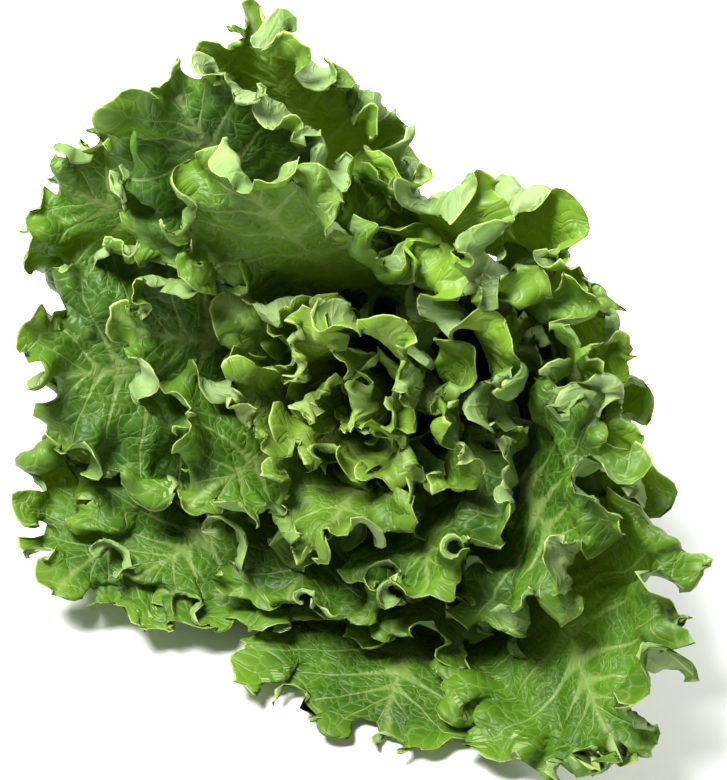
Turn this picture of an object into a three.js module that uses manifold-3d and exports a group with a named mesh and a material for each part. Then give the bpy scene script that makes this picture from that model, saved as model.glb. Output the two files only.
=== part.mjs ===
// A head of green leaf lettuce, cut and lying on its side, in millimetres with +Z up.
// Long frilled leaves grow in a spiral from a short stem. The head points to the front left, towards -Y and -X,
// and its lowest leaves are pressed flat on the surface that it lies on. Each leaf is a thin solid of its own.
// The origin is on that surface, in the middle of the head's box.
import * as THREE from "three";
import { mergeVertices } from "three/addons/utils/BufferGeometryUtils.js";
import Module from "manifold-3d";

const wasm = await Module();
wasm.setup();

// Driving dimensions
const LEAF_COUNT = 30;
const SPIRAL_STEP = 137.508; // degrees from one leaf to the next
const LAST_CLOCK = 174; // degrees clockwise from the top to the outermost leaf, seen on the crown
const STEM_RADIUS = 19;
const STEM_TIP_RADIUS = 3;
const STEM_HEIGHT = 38;
const HEAD_TURN = 25; // degrees that the head points to the left of the front
const HEAD_RISE = 20; // degrees that the head's axis rises from stem to crown
const HEAD_LIFT = 34; // height of the stem's cut end above the surface, at its middle
const LEAF_LENGTH = [158, 212]; // heart leaf, outermost leaf
const LENGTH_GROWTH = 0.55; // how soon the leaves are longer from the heart outwards: less is sooner
const WIDTH_GROWTH = 0.8;
const LEAN_GROWTH = 0.62;
const LEAF_HALF_WIDTH = [16, 80];
const ROOT_HALF_WIDTH = [6, 12];
const ROOT_LEAN = [0, 30]; // degrees off the axis at the root
const TIP_LEAN = [10, 66]; // degrees off the axis where the leaf has bent outwards
const LESS_BELOW = 0.4; // share of that lean that the surface below takes away
const LESS_RIGHT = 0.25; // share that the tight right side takes away
const BEND_START = 64; // distance along a leaf where it starts to bend
const BEND_END = 205; // and where it has reached its tip lean
const BLADE = 0.8; // thickness
const RIB_DEPTH = [0.6, 2.4]; // extra thickness of the midrib at its root
const WAVE_LENGTH = 44; // one frill along the margin
const FRILL_HEIGHT = [9, 16]; // how far a frill stands out to each side
const LOBE_DEPTH = 7; // cut between two lobes of the margin
const CLEARANCE = 1.1; // between the middles of two leaves
const PRESS_FROM = 44; // height below which the surface presses the head flatter
const SETTLE = 1.2; // what is this near the surface rests on it
const SETTLE_SLOPE = [0.1035, 0.0514]; // how far the head has sunk per mm to the right and to the back
const HEART_GREEN = 0x9dbf52;
const OUTER_GREEN = 0x4f8a2a;

// The outer leaves, from inside to outside, as they differ from the rule: by clock angle, as shares of length and
// width, and by how many degrees further the leaf leans out at its tip.
const OUTER_LEAVES = [
  { turned: -20, longer: 1.2, wider: 1, flare: 8 },
  { turned: 2, longer: 1.06, wider: 1, flare: 4 },
  { turned: 0, longer: 1.06, wider: 1, flare: 0 },
  { turned: -4, longer: 0.94, wider: 1, flare: 0 },
  { turned: 0, longer: 1.06, wider: 1, flare: 0 },
  { turned: -4, longer: 1.22, wider: 0.95, flare: 12 },
  { turned: 0, longer: 1.14, wider: 1, flare: 8 },
  { turned: 24, longer: 1.14, wider: 1, flare: 8 },
  { turned: 4, longer: 0.98, wider: 0.8, flare: 0 },
  { turned: -2, longer: 1, wider: 1, flare: 0 },
  { turned: 4, longer: 1.14, wider: 0.9, flare: 8 },
  { turned: -6, longer: 1, wider: 0.68, flare: 0 },
  { turned: 2, longer: 1.14, wider: 0.9, flare: 0 },
  { turned: -8, longer: 1.12, wider: 0.5, flare: 0 },
  { turned: -2, longer: 1.32, wider: 0.88, flare: 0 },
  { turned: -36, longer: 1.22, wider: 0.85, flare: 0 },
  { turned: 8, longer: 0.88, wider: 0.7, flare: -8 },
  { turned: -14, longer: 1.24, wider: 0.85, flare: 0 },
];

const mix = (pair, share) => pair[0] + (pair[1] - pair[0]) * share;
const clamp = (x, low, high) => Math.min(Math.max(x, low), high);
const smooth = (low, high, x) => {
  const t = clamp((x - low) / (high - low), 0, 1);
  return t * t * (3 - 2 * t);
};
const radians = (degrees) => (degrees * Math.PI) / 180;
const add = (a, b, k = 1) => [a[0] + b[0] * k, a[1] + b[1] * k, a[2] + b[2] * k];
const dot = (a, b) => a[0] * b[0] + a[1] * b[1] + a[2] * b[2];
const cross = (a, b) => [a[1] * b[2] - a[2] * b[1], a[2] * b[0] - a[0] * b[2], a[0] * b[1] - a[1] * b[0]];
const unit = (a) => add([0, 0, 0], a, 1 / (Math.hypot(...a) || 1));

// A seeded draw from 0 to 1: the same for the same leaf and key.
function draw(leaf, key) {
  const x = Math.sin(leaf * 12.9898 + key * 78.233 + 4.1) * 43758.5453;
  return x - Math.floor(x);
}
const sway = (leaf, key) => 2 * draw(leaf, key) - 1;

// Everything that sets one leaf apart. Age is 0 in the heart and 1 at the outside.
function traitsOf(i) {
  const age = i / (LEAF_COUNT - 1);
  const drawn = { turned: 8 * sway(i, 1), longer: 1 + 0.06 * sway(i, 2), wider: 1 + 0.06 * sway(i, 3), flare: 0 };
  const own = OUTER_LEAVES[i - (LEAF_COUNT - OUTER_LEAVES.length)] || drawn;
  return {
    i,
    age,
    clock: LAST_CLOCK + (i - (LEAF_COUNT - 1)) * SPIRAL_STEP + own.turned,
    length: mix(LEAF_LENGTH, age ** LENGTH_GROWTH) * own.longer,
    width: mix(LEAF_HALF_WIDTH, age ** WIDTH_GROWTH) * own.wider,
    flare: own.flare,
    drift: 6 * sway(i, 6),
    frill: mix(FRILL_HEIGHT, age ** 0.7) * (1 + 0.12 * sway(i, 7)),
  };
}

// The flat leaf's outline on one side, from root (0) to tip (1), as a half width.
function halfWidth(leaf, y) {
  const fan = (Math.pow(y, 1.35) * Math.sqrt(Math.max(0, 1 - Math.pow(y, 3.6)))) / 0.545;
  return leaf.width * fan + mix(ROOT_HALF_WIDTH, leaf.age) * Math.sqrt(Math.max(0, 1 - y));
}

// The margin from root (0) over the tip (0.5) to the other root (1), by length, as a table.
const OUTLINE_STEPS = 60;
function outlineOf(leaf) {
  const half = [];
  for (let k = 0; k <= OUTLINE_STEPS; k++) {
    const y = 1 - (1 - k / OUTLINE_STEPS) ** 2;
    half.push([halfWidth(leaf, y), y * leaf.length]);
  }
  const length = [0];
  for (let k = 1; k <= OUTLINE_STEPS; k++)
    length.push(length[k - 1] + Math.hypot(half[k][0] - half[k - 1][0], half[k][1] - half[k - 1][1]));
  return { half, length, total: length[OUTLINE_STEPS] };
}

function onOutline(leaf, u) {
  const { half, length, total } = leaf.outline;
  const side = u <= 0.5 ? -1 : 1;
  const at = (u <= 0.5 ? 2 * u : 2 - 2 * u) * total;
  let k = 1;
  while (k < OUTLINE_STEPS && length[k] < at) k++;
  const t = clamp((at - length[k - 1]) / (length[k] - length[k - 1]), 0, 1);
  return [side * (half[k - 1][0] * (1 - t) + half[k][0] * t), half[k - 1][1] * (1 - t) + half[k][1] * t];
}

// The layer that a leaf lies in, before it frills: how far it leans off the axis at a clock angle, and the
// distance from the axis and height along it that this adds up to. Layers of greater age lie outside.
function leanAt(leaf, clock, s) {
  const bent = clamp((s - BEND_START) / (BEND_END - BEND_START), 0, 1.3) ** 1.2;
  const below = smooth(-0.2, 1, -Math.cos(clock));
  const right = smooth(0.3, 1, Math.cos(clock - radians(70)));
  const root = mix(ROOT_LEAN, leaf.age);
  const tip = mix(TIP_LEAN, leaf.age ** LEAN_GROWTH) * (1 - LESS_BELOW * below - LESS_RIGHT * right) + leaf.flare;
  return radians(root + (tip - root) * bent);
}

// Where the middle of a leaf's root lies: its distance from the head's axis and its height along it.
const rootRadius = (age) => mix([STEM_TIP_RADIUS + 1.2, STEM_RADIUS + 2.2], age);
const rootHeight = (age) => mix([STEM_HEIGHT - 2, 3], age);

const RIB_STEPS = 48;
const REACH = 270; // the layer is known this far along
const CLOCK_STEP = 15; // degrees between the lines along which the layer is worked out
const CLOCK_LINES = 9; // to each side of the midrib
function layerOf(leaf) {
  const step = REACH / RIB_STEPS;
  const lines = [];
  for (let c = -CLOCK_LINES; c <= CLOCK_LINES; c++) {
    const clock = radians(leaf.clock + c * CLOCK_STEP);
    let r = rootRadius(leaf.age);
    let h = rootHeight(leaf.age);
    const line = [];
    for (let k = 0; k <= RIB_STEPS; k++) {
      line.push([r, h]);
      const lean = leanAt(leaf, clock, (k + 0.5) * step);
      r += Math.sin(lean) * step;
      h += Math.cos(lean) * step;
    }
    lines.push(line);
  }
  return lines;
}

// A point of the layer, in the head's frame: up, right and along the axis. w is the distance from the midrib.
function baseAt(leaf, w, s) {
  const x = clamp((s / REACH) * RIB_STEPS, 0, RIB_STEPS - 0.001);
  const k = Math.floor(x);
  const onLine = (line, n) => line[k][n] + (line[k + 1][n] - line[k][n]) * (x - k);
  const r = onLine(leaf.layer[CLOCK_LINES], 0);
  const turned = leaf.drift * (s / leaf.length) ** 2 + ((w / Math.hypot(r, 8)) * 180) / Math.PI;
  const across = clamp(turned / CLOCK_STEP + CLOCK_LINES, 0, 2 * CLOCK_LINES - 0.001);
  const c = Math.floor(across);
  const [one, other] = [leaf.layer[c], leaf.layer[c + 1]];
  const radius = onLine(one, 0) + (onLine(other, 0) - onLine(one, 0)) * (across - c);
  const height = onLine(one, 1) + (onLine(other, 1) - onLine(one, 1)) * (across - c);
  const clock = radians(leaf.clock + turned);
  return { p: [radius * Math.cos(clock), radius * Math.sin(clock), height], radius, clock };
}

// The frill as a field round the head's axis, so that leaves that lie on each other frill alike and nest.
// Waves run round the head and along it: [times round, length along, start]. Where the head is wider, waves that
// go round more often take over, so that a frill keeps its length.
const WAVES = [
  [3, 62, 0.6],
  [5, -70, 2.9],
  [7, 54, 5.1],
  [9, -58, 1.7],
  [12, 66, 3.8],
  [15, -56, 0.2],
  [18, 60, 4.6],
  [22, -64, 2.2],
  [27, 58, 5.7],
];
const WAVE_SPREAD = 0.26;
function fieldAt(leaf, w, s) {
  const { radius, clock } = baseAt(leaf, w, s);
  const along = s + rootHeight(leaf.age);
  const best = (2 * Math.PI * radius) / WAVE_LENGTH;
  let value = 0;
  let across = 0;
  let lengthwise = 0;
  let power = 0;
  for (const [times, length, start] of WAVES) {
    const weight = Math.exp(-((Math.log(times / best) / WAVE_SPREAD) ** 2));
    const phase = times * clock + (2 * Math.PI * along) / length + start;
    value += weight * Math.sin(phase);
    across += (weight * Math.cos(phase) * times) / best;
    lengthwise += (weight * Math.cos(phase) * WAVE_LENGTH) / length;
    power += weight * weight;
  }
  const norm = 1 / Math.max(Math.sqrt(power), 0.3);
  return { value: Math.tanh(1.3 * value * norm), across: across * norm, lengthwise: lengthwise * norm };
}

// The frill starts some way up the margin and dies out at the root.
const FRILL_FROM = 0.17;
const frillAt = (u) => smooth(FRILL_FROM - 0.05, FRILL_FROM + 0.1, Math.min(u, 1 - u));

// Where the point (u, v) of the leaf lies when flat: u runs along the margin, v from midrib (0) to margin (1).
const RIB_END = 0.9;
function flatAt(leaf, u, v) {
  const [x, y] = onOutline(leaf, u);
  const foot = RIB_END * leaf.length * Math.pow(y / leaf.length, 1.3);
  const lobes = 0.5 - 0.5 * Math.cos((2 * Math.PI * 2 * leaf.waves * (u - FRILL_FROM)) / (1 - 2 * FRILL_FROM));
  const swell = 0.05 * Math.sin(19 * u + 6 * draw(leaf.i, 30)) + 0.03 * Math.sin(37 * u + 6 * draw(leaf.i, 31));
  const size = Math.hypot(x, y - foot) || 1;
  const cut = (frillAt(u) * LOBE_DEPTH * lobes) / size;
  const reach = v * (1 + (frillAt(u) * swell - cut) * v ** 4);
  return [x * reach, foot + (y - foot) * reach];
}

// A point of the frilled leaf in the head's frame, and the way outwards there.
function frilledAt(leaf, u, v) {
  const [w, s] = flatAt(leaf, u, v);
  const d = 1;
  const { p } = baseAt(leaf, w, s);
  const across = unit(add(baseAt(leaf, w + d, s).p, baseAt(leaf, w - d, s).p, -1));
  const along = unit(add(baseAt(leaf, w, s + d).p, baseAt(leaf, w, s - d).p, -1));
  const outward = unit(cross(across, along));
  const depth = clamp((v - 0.15) / 0.85, 0, 1) ** 1.4;
  const field = fieldAt(leaf, w, s);
  const height = leaf.frill * frillAt(u) * depth;
  let moved = add(p, outward, height * field.value);
  moved = add(moved, across, -0.4 * height * depth * field.value * field.across);
  moved = add(moved, along, -0.4 * height * depth * field.value * field.lengthwise);
  return { p: moved, outward };
}

// The leaf's points and triangles: rings of points from the margin inwards, joined ring to ring.
const ROOT_STATIONS = [0, 0.06, 0.12];
const RINGS = [
  { v: 1, every: 1 },
  { v: 0.74, every: 1 },
  { v: 0.42, every: 2 },
];
function netOf(leaf) {
  const stations = [...ROOT_STATIONS];
  const crests = 4 * leaf.waves;
  for (let k = 0; k <= crests; k++) stations.push(FRILL_FROM + ((1 - 2 * FRILL_FROM) * k) / crests);
  stations.push(...ROOT_STATIONS.map((u) => 1 - u).reverse());
  const points = [];
  const triangles = [];
  let outer = null;
  for (const { v, every } of RINGS) {
    const ring = stations
      .filter((_, k) => k % every === 0 || k === stations.length - 1)
      .map((u) => ({ u, index: points.push({ u, v }) - 1 }));
    if (outer) zip(outer, ring, triangles);
    outer = ring;
  }
  const rib = ribPoints(leaf, points);
  zip(outer, rib, triangles);
  return { points, triangles };
}

// The midrib's points, met from the one side on the way up and from the other on the way back.
const RIB_POINTS = 8;
function ribPoints(leaf, points) {
  const up = [];
  for (let k = 0; k <= RIB_POINTS; k++) {
    const foot = k / RIB_POINTS;
    let low = 0;
    let high = 0.5;
    for (let n = 0; n < 30; n++) {
      const middle = (low + high) / 2;
      if (Math.pow(onOutline(leaf, middle)[1] / leaf.length, 1.3) < foot) low = middle;
      else high = middle;
    }
    up.push({ u: high, index: points.push({ u: high, v: 0, rib: 1 - foot }) - 1 });
  }
  return [...up, ...up.slice(0, -1).reverse().map(({ u, index }) => ({ u: 1 - u, index }))];
}

// Triangles between two rows of points that run the same way.
function zip(outer, inner, triangles) {
  let a = 0;
  let b = 0;
  while (a < outer.length - 1 || b < inner.length - 1) {
    const nextOuter = a < outer.length - 1 ? outer[a + 1].u : Infinity;
    const nextInner = b < inner.length - 1 ? inner[b + 1].u : Infinity;
    if (nextOuter <= nextInner) {
      triangles.push([outer[a].index, outer[a + 1].index, inner[b].index]);
      a++;
    } else {
      triangles.push([outer[a].index, inner[b + 1].index, inner[b].index]);
      b++;
    }
  }
}

// Head frame to world: the head is turned, its axis rises, and what is low is pressed flatter.
const turn = radians(HEAD_TURN);
const rise = radians(HEAD_RISE);
const AXIS = [-Math.sin(turn) * Math.cos(rise), -Math.cos(turn) * Math.cos(rise), Math.sin(rise)];
const RIGHT = [Math.cos(turn), -Math.sin(turn), 0];
const UP = cross(AXIS, RIGHT);
function toWorld([up, right, along]) {
  const [x, y, z] = add(add(add([0, 0, HEAD_LIFT], UP, up), RIGHT, right), AXIS, along);
  const pressed = z > PRESS_FROM ? z : PRESS_FROM * Math.exp((z - PRESS_FROM) / PRESS_FROM);
  return [x, y, pressed - SETTLE_SLOPE[0] * x - SETTLE_SLOPE[1] * y];
}

// The meeting of a line with a triangle, as a distance along the line.
function meet(from, way, a, b, c) {
  const ab = add(b, a, -1);
  const ac = add(c, a, -1);
  const n = cross(way, ac);
  const size = dot(ab, n);
  if (Math.abs(size) < 1e-9) return null;
  const t = add(from, a, -1);
  const x = dot(t, n) / size;
  if (x < -0.02 || x > 1.02) return null;
  const m = cross(t, ab);
  const y = dot(way, m) / size;
  if (y < -0.02 || x + y > 1.02) return null;
  return dot(ac, m) / size;
}

// How far each triangle and point of a leaf has to go outwards, so that the leaf lies outside the finished ones.
const REACH_OUT = 30; // furthest that a leaf is looked for on the wrong side
const SAME_WAY = 0.3; // leaves that face apart by more than this cosine lie on two sides of the heart
const FADE = 0.35; // how fast a push dies out over the leaf
const middleOf = (points) => points.reduce((sum, p) => add(sum, p, 1 / points.length), [0, 0, 0]);
function facesOf(points, triangles) {
  return triangles.map((triangle) => {
    const corners = triangle.map((n) => points[n].place);
    const middle = middleOf(corners);
    const outward = unit(middleOf(triangle.map((n) => points[n].way)));
    return { triangle, corners, middle, outward, size: Math.max(...corners.map((p) => Math.hypot(...add(p, middle, -1)))) };
  });
}
function samplesOf(points, triangles) {
  const among = (owners) => ({
    p: middleOf(owners.map((n) => points[n].place)),
    outward: unit(middleOf(owners.map((n) => points[n].way))),
    owners,
  });
  const samples = points.map((_, k) => among([k]));
  for (const [a, b, c] of triangles) {
    for (const [m, n] of [[a, b], [b, c], [c, a]]) if (m < n) samples.push(among([m, n]));
    samples.push(among([a, b, c]));
  }
  return samples;
}
function furthest(sample, way, faces, clearance) {
  let most = 0;
  let met = null;
  for (const face of faces) {
    const t = add(face.middle, sample.p, -1);
    const along = dot(t, way);
    if (along < -clearance - face.size || along > REACH_OUT + face.size) continue;
    if (dot(t, t) - along * along > face.size * face.size) continue;
    if (dot(face.outward, sample.outward) < SAME_WAY) continue;
    const s = meet(sample.p, way, ...face.corners);
    if (s !== null && s > -clearance && s < REACH_OUT && s + clearance > most) {
      most = s + clearance;
      met = face;
    }
  }
  return { most, met };
}
function bendClear(net, shape, done) {
  let points = shape.map(placed);
  for (let round = 0; round < 6; round++) {
    const push = points.map(() => 0);
    const raise = (n, d) => (push[n] = Math.max(push[n], d / points[n].stretch));
    for (const sample of samplesOf(points, net.triangles)) {
      const { most } = furthest(sample, sample.outward, done.faces, CLEARANCE);
      sample.owners.forEach((n) => raise(n, most));
    }
    const own = facesOf(points, net.triangles);
    for (const sample of done.samples) {
      const inward = add([0, 0, 0], sample.outward, -1);
      const { most, met } = furthest(sample, inward, own, CLEARANCE);
      if (met) met.triangle.forEach((n) => raise(n, most));
    }
    if (Math.max(...push) < 0.05) break;
    points = spreadPush(points, push);
  }
  return points;
}
// A push spreads over the leaf and fades with distance, so the leaf bends and isn't dented.
function spreadPush(points, push) {
  const pushed = push.map((d, n) => ({ d, n })).filter(({ d }) => d > 0);
  return points.map(({ p, outward }) => {
    const far = Math.max(0, ...pushed.map(({ d, n }) => d - FADE * Math.hypot(...add(points[n].p, p, -1))));
    return placed({ p: add(p, outward, far), outward });
  });
}
// A point of the head's frame with its place in the world, the way outwards there, and how much the surface below
// has squeezed that way.
function placed({ p, outward }) {
  const place = toWorld(p);
  const step = add(toWorld(add(p, outward, 0.5)), toWorld(add(p, outward, -0.5)), -1);
  return { p, outward, place, way: unit(step), stretch: Math.max(Math.hypot(...step), 0.12) };
}

// A closed thin solid about the leaf's middle surface, thicker along the midrib on its outer side.
function solidOf(leaf, net, middle) {
  const normals = middle.map(() => [0, 0, 0]);
  for (const [a, b, c] of net.triangles) {
    const n = cross(add(middle[b], middle[a], -1), add(middle[c], middle[a], -1));
    for (const k of [a, b, c]) normals[k] = add(normals[k], n);
  }
  const inner = [];
  const outer = [];
  middle.forEach((p, k) => {
    const n = unit(normals[k]);
    const rib = net.points[k].v === 0 ? mix(RIB_DEPTH, leaf.age) * net.points[k].rib : 0;
    inner.push(add(p, n, -BLADE / 2));
    outer.push(add(p, n, BLADE / 2 + rib));
  });
  const count = middle.length;
  const faces = [];
  const edges = new Map();
  for (const [a, b, c] of net.triangles) {
    faces.push([a + count, b + count, c + count], [a, c, b]);
    for (const [m, n] of [[a, b], [b, c], [c, a]]) edges.set(m + "," + n, [m, n]);
  }
  for (const [m, n] of edges.values())
    if (!edges.has(n + "," + m)) faces.push([m, n + count, m + count], [m, n, n + count]);
  const geometry = new THREE.BufferGeometry();
  geometry.setAttribute("position", new THREE.Float32BufferAttribute([...inner, ...outer].flat(), 3));
  geometry.setIndex(faces.flat());
  return geometry;
}

const boxOf = (geometry) => new THREE.Box3().setFromBufferAttribute(geometry.getAttribute("position"));

function manifoldOf(geometry) {
  const merged = mergeVertices(geometry, 1e-3);
  return new wasm.Manifold(
    new wasm.Mesh({
      numProp: 3,
      vertProperties: new Float32Array(merged.attributes.position.array),
      triVerts: new Uint32Array(merged.index.array),
    }),
  );
}

// While a leaf still crosses a finished one, it is bent outwards round that place.
const CROSSING = 0.004; // mm3
const NUDGE = 0.9;
const MOST_NUDGES = 24;
function nudgeClear(leaf, net, points, solids) {
  for (let round = 0; ; round++) {
    const world = points.map(({ place }) => place);
    const geometry = solidOf(leaf, net, world);
    const solid = manifoldOf(geometry);
    const places = [];
    for (const other of solids) {
      const common = solid.intersect(other);
      if (common.volume() < CROSSING) continue;
      const { vertProperties, numProp } = common.getMesh();
      for (let k = 0; k < vertProperties.length; k += numProp) places.push([...vertProperties.slice(k, k + 3)]);
    }
    if (!places.length || round === MOST_NUDGES) return { geometry, solid, points };
    const push = points.map(({ place, stretch }) => {
      const near = Math.min(...places.map((at) => Math.hypot(...add(at, place, -1))));
      return near < 12 ? NUDGE / stretch : 0;
    });
    points = spreadPush(points, push);
  }
}

// The stem: a short cone inside the leaf roots, with its cut end towards the back.
const CUT_BEHIND = 9; // from the cut end to the first leaf root
const STEM_GAP = 0.75; // from the stem to the middle of the leaf roots
const STEM_SIDES = 20;
function stemGeometry() {
  const profile = [
    [0, -CUT_BEHIND],
    [STEM_RADIUS - 2.4, -CUT_BEHIND],
    [STEM_RADIUS - 0.4, -CUT_BEHIND + 2.2],
    [rootRadius(1) - STEM_GAP, 0],
    [rootRadius(1) - STEM_GAP, rootHeight(1)],
    [rootRadius(0.5) - STEM_GAP, rootHeight(0.5)],
    [rootRadius(0) - STEM_GAP, rootHeight(0)],
    [0, rootHeight(0) + 5],
  ];
  const lathe = new THREE.LatheGeometry(profile.map(([r, h]) => new THREE.Vector2(r, h)), STEM_SIDES);
  lathe.deleteAttribute("normal");
  lathe.deleteAttribute("uv");
  const geometry = mergeVertices(lathe, 1e-3);
  const place = geometry.getAttribute("position");
  for (let k = 0; k < place.count; k++)
    place.setXYZ(k, ...toWorld([place.getX(k), place.getZ(k), place.getY(k)]));
  return geometry;
}

// Build
const head = new THREE.Group();
const done = { faces: [], samples: [] };
const stem = stemGeometry();
const solids = [manifoldOf(stem)];
const pieces = [{ name: "stem", geometry: stem, color: 0xd9dcb4 }];
for (let i = 0; i < LEAF_COUNT; i++) {
  const leaf = traitsOf(i);
  leaf.outline = outlineOf(leaf);
  leaf.layer = layerOf(leaf);
  leaf.waves = Math.max(3, Math.round((2 * leaf.outline.total * (1 - 2 * FRILL_FROM)) / WAVE_LENGTH));
  const net = netOf(leaf);
  const shape = net.points.map(({ u, v }) => frilledAt(leaf, u, v));
  const bent = bendClear(net, shape, done);
  const { geometry, solid, points } = nudgeClear(leaf, net, bent, solids);
  done.faces.push(...facesOf(points, net.triangles));
  done.samples.push(...samplesOf(points, net.triangles));
  solids.push(solid);
  const color = new THREE.Color(HEART_GREEN).lerp(new THREE.Color(OUTER_GREEN), leaf.age);
  pieces.push({ name: "leaf_" + String(i + 1).padStart(2, "0"), geometry, color, underside: net.points.length });
}

// What comes this near the surface rests on it, which makes the flat spots that the head lies on.
const lowest = Math.min(...pieces.map(({ geometry }) => boxOf(geometry).min.z));
for (const { geometry, underside } of pieces) {
  const place = geometry.getAttribute("position");
  for (let k = underside ?? Infinity; k < place.count; k++)
    if (place.getZ(k) < lowest + SETTLE) place.setZ(k, lowest);
}

const box = pieces.map(({ geometry }) => boxOf(geometry)).reduce((all, one) => all.union(one));
for (const { name, geometry, color } of pieces) {
  geometry.translate(-(box.min.x + box.max.x) / 2, -(box.min.y + box.max.y) / 2, -box.min.z);
  const mesh = new THREE.Mesh(geometry, new THREE.MeshStandardMaterial({ color, roughness: 0.5, metalness: 0 }));
  mesh.name = name;
  head.add(mesh);
}

export default head;
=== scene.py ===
"""A head of green leaf lettuce, cut and lying on its side: its looks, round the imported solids.

Each leaf's solid is replaced by a finer leaf of the same form, with lobes, teeth, ruffles, veins and
blisters. The stem's solid is replaced by a stem with a cut face and leaf scars. Lengths are millimetres
in the head's own frame, which runs up, right and along the head's axis, and to_world turns them into
metres in the frame of the solids. Named angles are degrees, unless a comment says radians.
"""

import math

import bpy
import numpy as np
from mathutils import Matrix, Vector


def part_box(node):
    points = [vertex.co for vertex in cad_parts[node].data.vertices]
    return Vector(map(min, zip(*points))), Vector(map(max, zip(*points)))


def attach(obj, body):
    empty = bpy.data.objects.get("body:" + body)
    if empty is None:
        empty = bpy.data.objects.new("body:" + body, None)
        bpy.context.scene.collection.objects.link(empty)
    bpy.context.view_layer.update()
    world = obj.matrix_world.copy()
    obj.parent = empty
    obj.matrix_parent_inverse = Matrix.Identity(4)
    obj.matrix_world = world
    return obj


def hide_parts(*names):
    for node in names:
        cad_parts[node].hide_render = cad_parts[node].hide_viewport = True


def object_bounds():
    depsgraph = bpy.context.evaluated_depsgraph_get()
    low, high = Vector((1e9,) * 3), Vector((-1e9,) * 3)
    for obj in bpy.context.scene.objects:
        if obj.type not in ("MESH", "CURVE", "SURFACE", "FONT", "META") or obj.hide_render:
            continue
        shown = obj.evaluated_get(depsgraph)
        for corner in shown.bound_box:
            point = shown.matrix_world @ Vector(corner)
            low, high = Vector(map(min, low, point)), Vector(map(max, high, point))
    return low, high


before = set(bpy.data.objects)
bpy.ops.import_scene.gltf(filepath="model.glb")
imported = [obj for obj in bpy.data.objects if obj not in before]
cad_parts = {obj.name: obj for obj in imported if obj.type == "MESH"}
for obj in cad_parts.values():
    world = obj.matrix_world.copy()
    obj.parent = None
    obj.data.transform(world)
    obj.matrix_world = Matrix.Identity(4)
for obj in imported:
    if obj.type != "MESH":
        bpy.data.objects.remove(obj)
solid_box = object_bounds()

MM = 0.001
CM = 10  # millimetres, for the patterns on the leaves

# How the head lies, as the solids have it
HEAD_TURN = 25
HEAD_RISE = 20
HEAD_LIFT = 34
PRESS_FROM = 44
SETTLE_SLOPE = (0.1035, 0.0514)
ABOVE_FLOOR = 0.0002  # metres

# The stem, as the solids have it
STEM_RADIUS = 19
STEM_TIP_RADIUS = 3
STEM_HEIGHT = 38
STEM_SIDES = 20
STEM_GAP = 0.75
CUT_BEHIND = 9
ROOT_RADIUS = (STEM_TIP_RADIUS + 1.2, STEM_RADIUS + 2.2)
ROOT_HEIGHT = (STEM_HEIGHT - 2, 3)

# The leaves, as the solids have them. A pair is for the innermost and the outermost leaf.
LEAF_COUNT = 30
HEART_LEAVES = 10
SPIRAL_STEP = 137.508
LAST_CLOCK = 174
LEAF_LENGTH = (158, 212)
LEAF_HALF_WIDTH = (16, 80)
ROOT_HALF_WIDTH = (6, 12)
ROOT_LEAN = (0, 30)
TIP_LEAN = (10, 66)
LENGTH_GROWTH = 0.55
WIDTH_GROWTH = 0.8
LEAN_GROWTH = 0.62
LESS_BELOW = 0.4
BELOW_FROM = -0.2  # a cosine, as RIGHT_FROM and the FROM values of the painted light and the painted shade
LESS_RIGHT = 0.25
RIGHT_CLOCK = 70
RIGHT_FROM = 0.3
BEND_START = 64
BEND_END = 205
RIB_DEPTH = (0.6, 2.4)
RIB_END = 0.9
VEIN_SWEEP = 1.3
OWN_TURN = 8
OWN_SIZE = 0.06
OWN_DRIFT = 6
OUTER_LEAVES = (  # turned, longer, wider, flare
    (-20, 1.2, 1, 8),
    (2, 1.06, 1, 4),
    (0, 1.06, 1, 0),
    (-4, 0.94, 1, 0),
    (0, 1.06, 1, 0),
    (-4, 1.22, 0.95, 12),
    (0, 1.14, 1, 8),
    (24, 1.14, 1, 8),
    (4, 0.98, 0.8, 0),
    (-2, 1, 1, 0),
    (4, 1.14, 0.9, 8),
    (-6, 1, 0.68, 0),
    (2, 1.14, 0.9, 0),
    (-8, 1.12, 0.5, 0),
    (-2, 1.32, 0.88, 0),
    (-36, 1.22, 0.85, 0),
    (8, 0.88, 0.7, -8),
    (-14, 1.24, 0.85, 0),
)

# The frills, as the solids have them: one field round the axis, so that leaves on each other frill alike
WAVE_LENGTH = 44
WAVE_SPREAD = 0.26
WAVE_SHARPNESS = 1.3
LEAST_WAVE_POWER = 0.3
FRILL_HEIGHT = (9, 16)
FRILL_GROWTH = 0.7
OWN_FRILL = 0.12
FRILL_FROM = 0.17
FRILL_FADES = (FRILL_FROM - 0.05, FRILL_FROM + 0.1)
FRILL_DEEPENS = 1.4
FRILL_STARTS_AT = 0.15
OVERHANG = 0.4
WAVES = (  # times round, length along, start in radians
    (3, 62, 0.6),
    (5, -70, 2.9),
    (7, 54, 5.1),
    (9, -58, 1.7),
    (12, 66, 3.8),
    (15, -56, 0.2),
    (18, 60, 4.6),
    (22, -64, 2.2),
    (27, 58, 5.7),
)

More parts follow.
